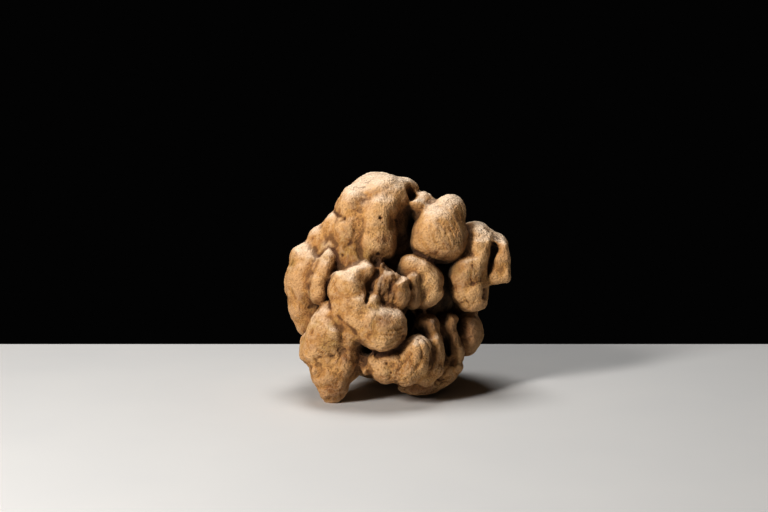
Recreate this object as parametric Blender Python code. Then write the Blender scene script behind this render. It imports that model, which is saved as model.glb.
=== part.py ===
"""A white truffle: one lumpy fruiting body of swollen lobes, folds and clefts, resting on three low knobs.

The lobes are placed face on, in millimetres: right, back and up. The whole body then leans back
onto its knobs, and its origin is put at the middle of its underside, with +Z up and the face towards -Y.
"""

import math

import bmesh
import bpy
from mathutils import Euler, Matrix, Vector, noise

MM = 0.001

# How the body stands: how far it leans back from the face-on layout, and how much of its knobs is worn flat.
LEAN_DEG = 10.0
LOWEST_UP_MM = 4.2

# How fine each lobe's skin is, how fine the fused skin is, and how far that is thinned to facets.
LOBE_VOXEL_MM = 1.0
FUSE_VOXEL_MM = 1.0
SKIN_SMOOTHING = 3
SKIN_TRIANGLES = 10800

# Broad unevenness of the skin: how wide and how high its swellings are.
SWELLINGS = ((19.0, 1.5), (9.0, 0.8), (5.0, 0.4))

# Each lobe: how many times it is smoothed, then the balls it swells from. Each ball: right, back and up
# of its middle, half its width, depth and height, and its pitch, roll and yaw.
LOBES = {
    # The hidden flesh that every lobe grows from.
    "core": (4, (
        ((-2, 4, 52), (27, 22, 30), (0, 0, 0)),
        ((0, 5, 30), (21, 15, 17), (0, 0, 0)),
    )),
    # The crown, which runs smoothly down into a blunt nose.
    "crown": (10, (
        ((-8.5, -2, 83.8), (16.8, 20, 13.8), (0, 0, 0)),
        ((-17, -6, 82.5), (10, 16, 13), (0, 25, 0)),
        ((-6, -14, 86), (11, 11, 9.6), (0, 0, 0)),
        ((1.5, -6, 86.5), (7.8, 11, 8.8), (0, 0, 0)),
        ((-7, -20, 81.5), (6.8, 9, 7), (0, 0, 0)),
        ((-9.4, -17.5, 76), (8.6, 12, 12), (0, 0, 0)),
        ((-12.6, -18, 68.2), (5.4, 10.4, 9.8), (0, 0, 0)),
        ((-13, -17.4, 62.4), (5.2, 10.2, 8), (0, 0, 0)),
        ((-8.6, -19, 67.6), (6, 10.4, 9.6), (0, 0, 0)),
        ((-5.4, -18.4, 68.6), (4.9, 9.8, 10), (0, 0, 0)),
        ((-0.4, -7.5, 75), (5, 9.5, 12), (0, 0, 0)),
    )),
    "temple": (8, (
        ((-19.6, -12.8, 81), (7.4, 12, 9.8), (0, 12, 0)),
        ((-21, -16.6, 72), (7.6, 11.6, 9.8), (0, 8, 0)),
        ((-20.4, -16.4, 63), (7.6, 11, 8.6), (0, 0, 0)),
        ((-18.6, -17, 57.6), (7.6, 11, 7.6), (0, 0, 0)),
        ((-16.6, -15.6, 74), (5, 11.6, 12), (0, 0, 0)),
    )),
    "shoulder": (12, (
        ((-25.5, -8, 73), (7.8, 13, 9.6), (0, 35, 0)),
        ((-31, -5, 66.5), (8.8, 13, 10), (0, 40, 0)),
        ((-28, -11, 62), (8.5, 12, 9), (0, 0, 0)),
        ((-27, -13, 52), (8.5, 11, 10), (0, 0, 0)),
    )),
    "knots": (3, (
        ((10.6, -10, 84.8), (5.4, 6.8, 4.8), (0, 20, 0)),
        ((13, -12, 82.4), (3.9, 5.6, 4.4), (0, 0, 0)),
        ((7.4, -15.4, 82.6), (5, 5, 2.8), (0, 8, 0)),
        ((8.9, -13, 79.6), (3.4, 5, 4.6), (0, 15, 0)),
    )),
    "pit_rim": (3, (
        ((1.9, -14.5, 87.3), (1.9, 4, 4.4), (0, -22, 0)),
        ((4.8, -14, 83), (3.6, 4.4, 2), (0, 12, 0)),
    )),
    # The left cheek and the finger that lies on it.
    "cheek": (12, (
        ((-38.4, -7, 50), (9.9, 13.5, 14), (0, 0, 0)),
        ((-37.2, -6, 59), (9.9, 12.5, 7.6), (0, 35, 0)),
        ((-38.6, -5, 40), (9.6, 13, 10), (0, -15, 0)),
        ((-35.4, -6, 33.5), (8.9, 12, 8), (0, -25, 0)),
    )),
    "finger": (8, (
        ((-29.2, -17.8, 60.4), (5, 7, 4.9), (0, 0, 0)),
        ((-30.2, -18.6, 57.4), (5.4, 7.6, 5.4), (0, 0, 0)),
        ((-31.3, -19.2, 54), (5.7, 8, 5.4), (0, 0, 0)),
        ((-32.4, -19.6, 50.4), (5.9, 8.2, 5.6), (0, 0, 0)),
        ((-33.2, -19.4, 46.6), (5.4, 7.8, 5.6), (0, 0, 0)),
    )),
    # The heart hangs in front of everything.
    "heart": (6, (
        ((-20.6, -29, 47.4), (8.8, 9.8, 9), (0, 0, 0)),
        ((-23.2, -28.4, 51), (5.4, 8.8, 5), (0, 0, 0)),
        ((-18.4, -27.8, 53), (6, 8.6, 5), (0, -15, 0)),
        ((-13.4, -26, 54.8), (4.9, 8, 5.1), (0, 0, 0)),
        ((-20.4, -29.4, 41), (8.6, 10.4, 9), (0, 0, 0)),
        ((-16.4, -30.6, 41), (7, 10.2, 7), (0, 0, 0)),
        ((-23, -26.8, 35.6), (6.4, 10, 7.4), (0, 0, 0)),
        ((-19.6, -28, 31), (6.6, 10, 7), (0, 0, 0)),
        ((-17.4, -30.6, 36.6), (8.9, 10.2, 8.4), (0, 0, 0)),
        ((-12, -32, 33.6), (8.8, 10.2, 9.6), (0, 0, 0)),
        ((-6.1, -32.6, 31.5), (9.8, 10.2, 10), (0, 0, 0)),
        ((-7, -33.8, 27), (7.6, 8.6, 5.8), (0, 0, 0)),
        ((-10.6, -31.5, 41.2), (3.6, 8, 5.6), (0, 20, 0)),
    )),
    "gnarl": (2, (
        ((-5, -27, 49), (5, 8, 7.6), (0, 0, 0)),
        ((-4.4, -28, 52), (4.6, 7.4, 3.6), (0, -15, 0)),
        ((-8, -29, 48), (3.6, 7.5, 4.6), (0, 0, 0)),
        ((-9.4, -28, 46), (2.4, 6.6, 5), (0, 0, 0)),
        ((-7, -26, 56.8), (1.9, 6.4, 3), (0, 0, 0)),
        ((-3.4, -28.2, 44.4), (4, 7.6, 3.8), (0, 0, 0)),
    )),
    "rib": (4, (
        ((0.4, -27, 46), (4.2, 8.4, 7.2), (0, 6, 0)),
        ((0.4, -29.4, 49.4), (4.4, 7.4, 1.9), (0, -38, 0)),
    )),
    # The left foot, a blunt cone whose flank runs up beside the heart.
    "foot": (9, (
        ((-28, -22, 24), (12.8, 12.5, 11), (0, 0, 0)),
        ((-26.6, -23, 35.6), (7.2, 11, 8), (0, 0, 0)),
        ((-27.4, -24, 29.6), (11.2, 12.4, 9), (0, 0, 0)),
        ((-29, -22.8, 33), (8, 11.6, 7), (0, 0, 0)),
        ((-21, -25, 28), (7, 11.4, 7), (0, 0, 0)),
        ((-36, -18, 22.6), (6.6, 9, 8), (0, -15, 0)),
        ((-19.8, -22.6, 21.5), (7, 10.6, 9), (0, 15, 0)),
        ((-23, -24.6, 17.4), (7, 9.4, 8), (0, 20, 0)),
        ((-27.8, -21.5, 15), (9.6, 11, 11), (0, 0, 0)),
        ((-27.6, -21, 8.6), (7, 8, 8.7), (0, 0, 0)),
        ((-20.4, -20.4, 14.8), (5.4, 8.5, 7), (0, 25, 0)),
    )),
    "foot_knob": (1, (
        ((-26.6, -35.4, 29.2), (2.8, 2.8, 2.3), (0, 25, 0)),
        ((-21.8, -31, 19.5), (1.9, 2.6, 1.9), (0, 0, 0)),
        ((-34.4, -28.6, 13.6), (2.2, 2.6, 1.9), (0, 20, 0)),
    )),
    # The egg.
    "egg": (12, (
        ((20.8, -14, 80), (8, 10.5, 8.4), (0, 0, 0)),
        ((17.8, -16, 74.5), (10.6, 12, 10), (0, 15, 0)),
        ((17.4, -16.5, 69.6), (12.2, 13, 11), (0, 15, 0)),
        ((11.2, -16, 67.4), (6.8, 10, 7), (0, 0, 0)),
    )),
    # The curl, and the leaf that lies on it.
    "curl": (4, (
        ((9, -15, 50), (9, 10, 11), (0, -10, 0)),
        ((5.4, -20, 56.4), (6.2, 6.4, 6.2), (0, 0, 0)),
        ((9.8, -21, 54.8), (6.2, 6.4, 6.2), (0, 0, 0)),
        ((13, -21.8, 51.4), (6.2, 6.2, 6.4), (0, 0, 0)),
        ((13.4, -21.8, 46.8), (5.4, 6, 5.6), (0, 0, 0)),
        ((9.4, -21.4, 48.6), (6.2, 6.4, 6.6), (0, 0, 0)),
        ((11, -20.6, 43.4), (4.8, 6, 4.8), (0, 0, 0)),
    )),
    "curl_leaf": (4, (
        ((6, -23, 51), (3.9, 7.2, 4.2), (0, -25, 0)),
        ((6.8, -23.2, 47), (3.7, 7.2, 5.4), (0, 0, 0)),
        ((5.8, -22.4, 42.6), (3.8, 7, 4.2), (0, 20, 0)),
    )),
    # The wing, its shelf and its flap.
    "wing": (6, (
        ((28.4, -13.6, 47.4), (7, 10, 8), (0, 0, 0)),
        ((27, -14.4, 52.6), (6, 10, 6.4), (0, -15, 0)),
        ((27.6, -14, 48.8), (5.4, 9.8, 6), (0, 0, 0)),
        ((31.4, -13, 43), (7, 9.4, 5.4), (0, -10, 0)),
        ((32, -13.6, 48), (6.2, 10, 9), (0, 0, 0)),
        ((29.8, -14.8, 54.4), (7.2, 10, 6.6), (0, 20, 0)),
        ((28.6, -14.4, 57.4), (5.2, 10, 4.8), (0, 0, 0)),
        ((32.4, -13.8, 57), (5.4, 10, 6.6), (0, 20, 0)),
        ((34.6, -13, 61), (5, 10, 7.4), (0, 15, 0)),
        ((33.6, -13, 65.4), (6.4, 10, 5.8), (0, 30, 0)),
        ((36.8, -12.6, 66.4), (4.6, 10, 6), (0, 15, 0)),
    )),
    "wing_edge": (3, (
        ((34.6, -12.5, 46.2), (3.8, 8.6, 6.2), (0, 0, 0)),
    )),
    "shelf": (8, (
        ((32.5, -5, 68.8), (8.8, 13, 8), (0, 28, 0)),
        ((34.4, -10, 68.6), (8, 10, 5.6), (0, 28, 0)),
        ((38.5, -5, 66.2), (7.2, 12, 6.8), (0, 22, 0)),
        ((40.4, -9, 67), (5, 9.6, 3.8), (0, 32, 0)),
        ((36, 2, 58), (7, 11, 9), (0, 0, 0)),
    )),
    "flap": (4, (
        ((42.8, -8.6, 60), (4.2, 9, 9), (0, 6, 0)),
        ((42.6, -8.6, 66), (4.4, 9.4, 4.6), (0, -15, 0)),
        ((43.4, -15.4, 64.4), (3.4, 4.8, 4.4), (0, 0, 0)),
        ((44.6, -15.4, 60.6), (3.2, 4.8, 5), (0, 0, 0)),
        ((42.2, -15.6, 59), (3.4, 4.8, 5), (0, 0, 0)),
        ((44.4, -15.2, 55), (3.4, 4.8, 5), (0, 0, 0)),
        ((41.4, -15.2, 54.2), (3.8, 4.8, 4.6), (0, 0, 0)),
        ((38.8, -14.6, 52.2), (3, 4.8, 2.8), (0, 0, 0)),
    )),
    # The stack of folds under the curl, each tucked behind the one to its left.
    "stack_nub": (1, (
        ((-13.6, -28.4, 14.4), (2.7, 5, 3.7), (0, 12, 0)),
    )),
    "stack_near": (4, (
        ((-6.4, -27.4, 15.2), (6.8, 9.4, 6.8), (0, -8, 0)),
        ((-10.8, -27.8, 18.8), (3.9, 7.8, 4.2), (0, 0, 0)),
        ((-3.6, -27.4, 18.2), (6.6, 9, 5.2), (0, 0, 0)),
        ((0.2, -27.6, 15.4), (5.2, 9.2, 7.2), (0, 0, 0)),
        ((-6, -17, 15.4), (5.4, 11, 6), (0, 0, 0)),
    )),
    "stack_fold": (5, (
        ((3.6, -27.8, 14.8), (6.8, 9.4, 7.8), (0, 25, 0)),
        ((7, -27.6, 20.8), (7.2, 9.6, 8.9), (0, 18, 0)),
        ((2.8, -27.4, 19), (5.4, 9, 5.8), (0, 0, 0)),
        ((8.6, -27, 16.6), (5, 9, 6), (0, 0, 0)),
        ((6, -16.5, 17.6), (6, 11, 8.6), (0, 20, 0)),
    )),
    "stack_leaf": (3, (
        ((10.4, -16, 33.4), (5, 9, 5), (0, 0, 0)),
        ((13, -18.2, 31.4), (4.4, 8.8, 5.8), (0, 0, 0)),
        ((14.9, -19.8, 26), (4, 8.6, 5.4), (0, -8, 0)),
        ((15.6, -20.6, 20.6), (4, 8.6, 5.8), (0, 0, 0)),
        ((13.8, -21, 15.4), (4.8, 8.6, 5.4), (0, 28, 0)),
        ((9.6, -21.6, 11.6), (5.4, 8.6, 4.4), (0, 30, 0)),
        ((14, -12, 20), (4.2, 9, 10), (0, 0, 0)),
    )),
    "stack_far": (4, (
        ((19.6, -6, 29.6), (4.8, 9.6, 7.6), (0, -5, 0)),
        ((21.6, -6, 21.4), (5.6, 10.4, 9), (0, 0, 0)),
        ((18.6, -7, 13.6), (7, 11, 6.6), (0, -20, 0)),
    )),
    "stack_ridge": (2, (
        ((22.2, -12, 34.8), (3, 5.4, 3), (0, 0, 0)),
        ((21.2, -12, 31.2), (2.6, 5.6, 3.4), (0, 0, 0)),
        ((23.2, -12, 26.6), (2.5, 6, 4), (0, -22, 0)),
        ((25, -11.6, 20.6), (2.4, 6, 4.6), (0, -8, 0)),
        ((24.4, -11.2, 15.4), (2.6, 6, 3.4), (0, 0, 0)),
    )),
    "stack_belly": (6, (
        ((8.8, -10.5, 8.1), (10.2, 12, 6.3), (0, -8, 0)),
        ((18, -8, 11.2), (7, 9.4, 5.4), (0, -22, 0)),
    )),
    "stack_round": (5, (
        ((29.2, 0, 28.6), (7, 11, 9.4), (0, 8, 0)),
    )),
    # The back, which the face hides.
    "back_crown": (10, (
        ((5, 13, 79), (13, 12, 12), (0, 0, 0)),
        ((-6, 16, 80), (11, 11, 11), (0, 0, 0)),
    )),
    "back_left_high": (10, (
        ((-25, 12, 66), (11, 12, 11), (0, 20, 0)),
        ((-31, 13, 55), (10, 11, 12), (0, 0, 0)),
    )),
    "back_left_low": (10, (
        ((-29, 14, 39), (11, 12, 10), (0, 0, 0)),
        ((-21, 22, 34), (10, 10, 9), (0, 0, 0)),
    )),
    "back_middle": (10, (
        ((-6, 27, 62), (12, 9.5, 11), (0, 0, 0)),
        ((3, 29, 52), (10, 9, 11), (0, 20, 0)),
    )),
    "back_right_high": (10, (
        ((23, 13, 66), (11, 12, 10), (0, -10, 0)),
        ((29, 13, 56), (9.5, 12, 11), (0, 0, 0)),
    )),
    "back_right_low": (10, (
        ((17, 23, 38), (11, 10, 10), (0, 0, 0)),
        ((25, 13, 36), (10, 11, 11), (0, 0, 0)),
    )),
    "back_bud_one": (4, (
        ((-15, 27, 46), (6.5, 6, 6), (0, 0, 0)),
    )),
    "back_bud_two": (4, (
        ((11, 21, 69), (6, 6, 6.5), (0, 20, 0)),
    )),
    "back_bud_three": (4, (
        ((-34, 20, 47), (5.5, 6.5, 5), (0, 0, 0)),
    )),
    "back_fold": (6, (
        ((-14, 20, 72), (9, 8, 5), (0, 20, 0)),
        ((-20, 22, 62), (6, 7, 7), (0, 0, 0)),
    )),
    "back_low_middle": (6, (
        ((-8, 26, 36), (7.5, 7, 8), (0, 0, 0)),
        ((-10, 20, 26), (8, 8, 7), (0, 0, 0)),
    )),
    "under_left": (8, (
        ((-17, 3, 19), (9.5, 10, 8), (0, 20, 0)),
        ((-21, 12, 22), (9, 9, 8), (0, 0, 0)),
    )),
    "under_middle": (8, (
        ((-5, 6, 16.5), (9, 8, 7.5), (0, 0, 25)),
        ((-8, 14, 19), (8, 9, 8), (0, 0, 0)),
        ((-12.5, 6, 15), (9, 8.5, 7), (0, 0, 0)),
    )),
    "under_right": (8, (
        ((10, 9, 16.5), (8, 8.5, 7.5), (0, -15, 0)),
        ((19, 10, 23), (8, 9, 8), (0, 0, 0)),
    )),
    "back_foot": (8, (
        ((1, 24, 26), (11, 11, 12), (0, 0, 0)),
        ((-2, 25, 15.8), (8, 9, 8.5), (0, 0, 0)),
    )),
}

# Each cleft is cut out of the body, and is given as one ball.
CLEFTS = {
    "wing_groove": ((38.8, -19, 60), (0.9, 7, 9.4), (0, 15, 0)),
    "heart_notch": ((-12.6, -38.8, 46.2), (0.9, 6.2, 5.4), (0, 12, 0)),
    "crown_pit": ((4.9, -16.4, 88), (2.4, 4.8, 4.2), (0, -14, 0)),
    "cheek_hollow": ((-36.4, -19.6, 40), (3.2, 3, 1.4), (0, 0, 0)),
    "gnarl_rift": ((-2.2, -37, 49.4), (0.8, 4, 4), (0, 35, 0)),
    "rib_rift": ((4.8, -31, 46.6), (0.6, 4, 7), (0, -4, 0)),
    "leaf_rift": ((10.6, -31.6, 46.8), (0.6, 4, 6.6), (0, -6, 0)),
    "fold_rift": ((14.5, -31, 21), (0.6, 5, 7), (0, -6, 0)),
    "far_rift": ((20.2, -18, 24), (1.6, 6, 5.4), (0, -10, 0)),
    "stack_hollow": ((4.6, -16, 33), (1.7, 9, 5.6), (0, 0, 0)),
    "back_cleft": ((-1, 34, 44), (1.6, 7, 9), (0, 35, 0)),
    "side_cleft": ((-44, 8, 49), (7, 1.5, 9), (0, 0, -15)),
}


def placed(middle, halves, tilt):
    """The matrix that turns a unit ball into a swelling, in metres."""
    turn = Euler([math.radians(angle) for angle in tilt]).to_matrix().to_4x4()
    return Matrix.Translation(Vector(middle) * MM) @ turn @ Matrix.Diagonal([*(half * MM for half in halves), 1])


def balls(name, shapes):
    """One object holding every shape as a ball squeezed to its size."""
    bm = bmesh.new()
    for middle, halves, tilt in shapes:
        bmesh.ops.create_icosphere(bm, subdivisions=4, radius=1, matrix=placed(middle, halves, tilt))
    mesh = bpy.data.meshes.new(name)
    bm.to_mesh(mesh)
    bm.free()
    obj = bpy.data.objects.new(name, mesh)
    bpy.context.scene.collection.objects.link(obj)
    return obj


def apply_modifiers(obj):
    """Makes the evaluated shape the object's own mesh."""
    bpy.context.view_layer.update()
    graph = bpy.context.evaluated_depsgraph_get()
    mesh = bpy.data.meshes.new_from_object(obj.evaluated_get(graph))
    obj.modifiers.clear()
    obj.data = mesh


def fuse(obj, voxel_mm):
    """Grows every overlapping shape of the object together into one skin."""
    remesh = obj.modifiers.new("fuse", "REMESH")
    remesh.mode = "VOXEL"
    remesh.voxel_size = voxel_mm * MM
    apply_modifiers(obj)


def smooth(obj, times):
    """Rounds the creases, as skin does."""
    rounding = obj.modifiers.new("smooth", "SMOOTH")
    rounding.factor = 0.5
    rounding.iterations = times
    apply_modifiers(obj)


def cut(obj, cutters):
    """Cuts the clefts out of the body."""
    for cutter in cutters:
        boolean = obj.modifiers.new("cleft", "BOOLEAN")
        boolean.operation = "DIFFERENCE"
        boolean.solver = "MANIFOLD"
        boolean.object = cutter
    apply_modifiers(obj)
    for cutter in cutters:
        bpy.data.objects.remove(cutter)


def gathered(name, objects):
    """One object holding the meshes of several, which are removed."""
    bm = bmesh.new()
    for obj in objects:
        bm.from_mesh(obj.data)
        bpy.data.objects.remove(obj)
    mesh = bpy.data.meshes.new(name)
    bm.to_mesh(mesh)
    bm.free()
    whole = bpy.data.objects.new(name, mesh)
    bpy.context.scene.collection.objects.link(whole)
    return whole


def grown_lobe(name, times, shapes):
    """One lobe, whose balls run smoothly into each other."""
    lobe = balls(name, shapes)
    fuse(lobe, LOBE_VOXEL_MM)
    smooth(lobe, times)
    return lobe


def swell(obj):
    """Pushes the skin in and out in broad, shallow swellings."""
    bm = bmesh.new()
    bm.from_mesh(obj.data)
    bm.normal_update()
    moves = []
    for vert in bm.verts:
        height = sum(
            high * noise.noise(vert.co / (wide * MM) + Vector((wide, 0, 0))) for wide, high in SWELLINGS
        )
        moves.append(vert.normal * height * MM)
    for vert, move in zip(bm.verts, moves, strict=True):
        vert.co += move
    bm.to_mesh(obj.data)
    bm.free()


def grown(name, voxel_mm):
    """The whole fused body, face on."""
    obj = gathered(name, [grown_lobe(lobe, times, shapes) for lobe, (times, shapes) in LOBES.items()])
    fuse(obj, voxel_mm)
    cut(obj, [balls(cleft, [shape]) for cleft, shape in CLEFTS.items()])
    fuse(obj, voxel_mm)
    smooth(obj, SKIN_SMOOTHING)
    swell(obj)
    return obj


def stand(obj):
    """Leans the body back, wears its lowest knobs flat and puts the origin under its middle."""
    obj.data.transform(Matrix.Rotation(math.radians(-LEAN_DEG), 4, "X"))
    bm = bmesh.new()
    bm.from_mesh(obj.data)
    geometry = [*bm.verts, *bm.edges, *bm.faces]
    cut_made = bmesh.ops.bisect_plane(
        bm, geom=geometry, plane_co=(0, 0, LOWEST_UP_MM * MM), plane_no=(0, 0, -1), clear_outer=True
    )
    rims = [item for item in cut_made["geom_cut"] if isinstance(item, bmesh.types.BMEdge)]
    bmesh.ops.contextual_create(bm, geom=rims)
    bmesh.ops.triangulate(bm, faces=bm.faces)
    lows = [min(vert.co[axis] for vert in bm.verts) for axis in range(3)]
    highs = [max(vert.co[axis] for vert in bm.verts) for axis in range(3)]
    middle = Vector(((lows[0] + highs[0]) / 2, (lows[1] + highs[1]) / 2, lows[2]))
    bmesh.ops.translate(bm, vec=-middle, verts=bm.verts)
    bm.to_mesh(obj.data)
    bm.free()


def thin_out(obj, triangles):
    """Reduces the skin to about this many facets, larger where it is flat."""
    obj.data.calc_loop_triangles()
    decimate = obj.modifiers.new("thin_out", "DECIMATE")
    decimate.ratio = triangles / len(obj.data.loop_triangles)
    decimate.use_collapse_triangulate = True
    apply_modifiers(obj)


def skin():
    """The truffle's dry, pale ochre skin."""
    material = bpy.data.materials.new("truffle_skin")
    material.use_nodes = True
    shader = material.node_tree.nodes["Principled BSDF"]
    shader.inputs["Base Color"].default_value = (0.55, 0.33, 0.15, 1)
    shader.inputs["Roughness"].default_value = 0.8
    shader.inputs["Metallic"].default_value = 0.0
    return material


def truffle():
    """The finished body, as one solid."""
    obj = grown("white_truffle", FUSE_VOXEL_MM)
    thin_out(obj, SKIN_TRIANGLES)
    stand(obj)
    obj.data.materials.clear()
    obj.data.materials.append(skin())
    obj.data.shade_smooth()
    return obj


for old in list(bpy.data.objects):
    bpy.data.objects.remove(old)
truffle()
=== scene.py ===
"""A white truffle on a pale slab: its lobes and folds, its wrinkled skin with creases, and its ochre with
dust, with light and shade painted into its colour.
"""

import math

import bmesh
import bpy
import numpy as np
from mathutils import Euler, Matrix, Vector, noise
from mathutils.bvhtree import BVHTree


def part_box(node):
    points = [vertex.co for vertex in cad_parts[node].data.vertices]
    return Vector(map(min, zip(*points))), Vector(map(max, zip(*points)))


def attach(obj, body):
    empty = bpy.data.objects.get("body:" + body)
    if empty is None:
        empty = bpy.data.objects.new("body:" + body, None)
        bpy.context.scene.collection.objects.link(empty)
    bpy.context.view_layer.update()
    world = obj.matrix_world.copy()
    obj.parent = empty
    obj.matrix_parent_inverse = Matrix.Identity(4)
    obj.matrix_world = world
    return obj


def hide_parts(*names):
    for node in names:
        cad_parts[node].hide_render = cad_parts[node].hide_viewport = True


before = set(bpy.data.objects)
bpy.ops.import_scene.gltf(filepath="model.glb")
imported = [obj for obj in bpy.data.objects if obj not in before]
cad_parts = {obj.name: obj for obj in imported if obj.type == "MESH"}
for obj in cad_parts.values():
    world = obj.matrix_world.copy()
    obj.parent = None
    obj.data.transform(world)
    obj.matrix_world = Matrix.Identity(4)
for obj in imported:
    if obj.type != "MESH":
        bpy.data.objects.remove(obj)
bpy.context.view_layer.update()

MM = 0.001

# How the body stands: how far it leans back from the face-on layout, and how much of its knobs is worn off.
LEAN_DEG = 10.0
LOWEST_UP_MM = 4.2

# How fine each lobe's skin is, how fine the fused skin is, and how many facets are kept.
LOBE_VOXEL_MM = 1.0
FUSE_VOXEL_MM = 0.58
SKIN_SMOOTHING = 3
SKIN_TRIANGLES = 190000

# Broad unevenness of the skin: how wide and how high its swellings are.
SWELLINGS = ((19.0, 1.5), (9.0, 0.8), (5.0, 0.4))

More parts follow.
